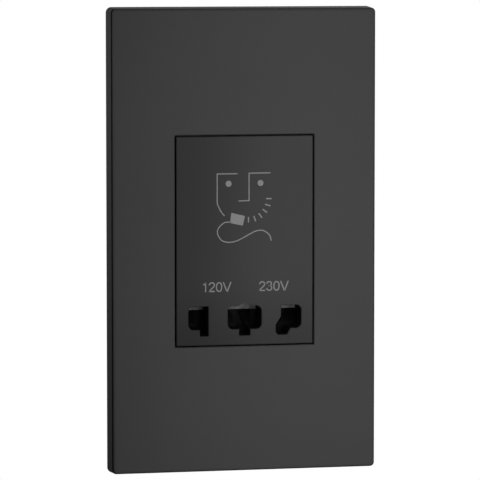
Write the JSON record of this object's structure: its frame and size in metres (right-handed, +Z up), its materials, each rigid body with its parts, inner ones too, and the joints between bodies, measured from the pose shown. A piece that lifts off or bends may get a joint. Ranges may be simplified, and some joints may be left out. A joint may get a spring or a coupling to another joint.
{
  "type": "shaver socket",
  "caption": "Upright two-gang wall shaver socket: flat cover plate with rounded edges, flush insert with multi-standard pin apertures, shutter, and isolating transformer in a rear box.",
  "frame": {"origin": "middle of the cover plate on the wall plane, halfway between the two wall screws", "axes": "+Z up, the front faces -Y, +X to the right seen from the front; the wall is the plane Y = 0"},
  "size_m": [0.0878, 0.048, 0.1506],
  "materials": {
    "plate_plastic": "fine matt anthracite moulding",
    "insert_plastic": "fine matt anthracite moulding",
    "frame_plastic": "plain black moulding",
    "housing_plastic": "sparked black moulding",
    "zinc_steel": "bright zinc plating",
    "carrier_plastic": "plain grey moulding",
    "shutter_plastic": "smooth black moulding",
    "spring_steel": "bright drawn wire",
    "block_plastic": "plain black moulding",
    "contact_brass": "pressed strip",
    "switch_plastic": "plain black moulding",
    "plunger_plastic": "smooth red moulding",
    "tinned_brass": "tinned",
    "core_steel": "varnished lamination edges",
    "bobbin_nylon": "natural nylon",
    "tape_film": "amber film",
    "winding_wire": "enamelled copper",
    "cutout_plastic": "white moulding",
    "terminal_plastic": "grey moulding",
    "lead_sleeve": "brown sleeve"
  },
  "bodies": {
    "base": {"cover_plate": "plate_plastic", "socket_face": "insert_plastic", "support_frame": "frame_plastic", "rear_housing": "housing_plastic", "fixing_screws": "zinc_steel", "housing_screws": "zinc_steel", "carrier_screws": "zinc_steel", "core_screws": "zinc_steel", "contact_carrier": "carrier_plastic", "shutter_spring": "spring_steel", "contact_block": "block_plastic", "contact_120v": "contact_brass", "contact_common": "contact_brass", "contact_230v": "contact_brass", "switch_body": "switch_plastic", "switch_tags": "tinned_brass", "core_laminations": "core_steel", "bobbin": "bobbin_nylon", "winding_tape": "tape_film", "primary_winding": "winding_wire", "secondary_winding": "winding_wire", "thermal_cutout": "cutout_plastic", "bobbin_pins": "tinned_brass", "terminal_block": "terminal_plastic", "terminal_clamps": "contact_brass", "terminal_screws": "zinc_steel", "outlet_leads": "lead_sleeve", "mains_leads": "lead_sleeve"},
    "shutter_slide_body": {"shutter": "shutter_plastic"},
    "plunger_body": {"switch_plunger": "plunger_plastic"}
  },
  "joints": [
    {"name": "shutter_slide", "type": "slide", "parent": "base", "child": "shutter_slide_body", "axis": [0, 0, -1], "range_m": [0, 0.0065], "stiffness_N_per_m": 200, "springref_m": -0.003, "deforming": ["shutter_spring"]},
    {"name": "plunger_slide", "type": "slide", "parent": "base", "child": "plunger_body", "axis": [0, 0, -1], "range_m": [0, 0.0012]}
  ],
  "couplings": [
    {"joint": "plunger_slide", "follows": "shutter_slide", "ratio": 0.1846}
  ]
}
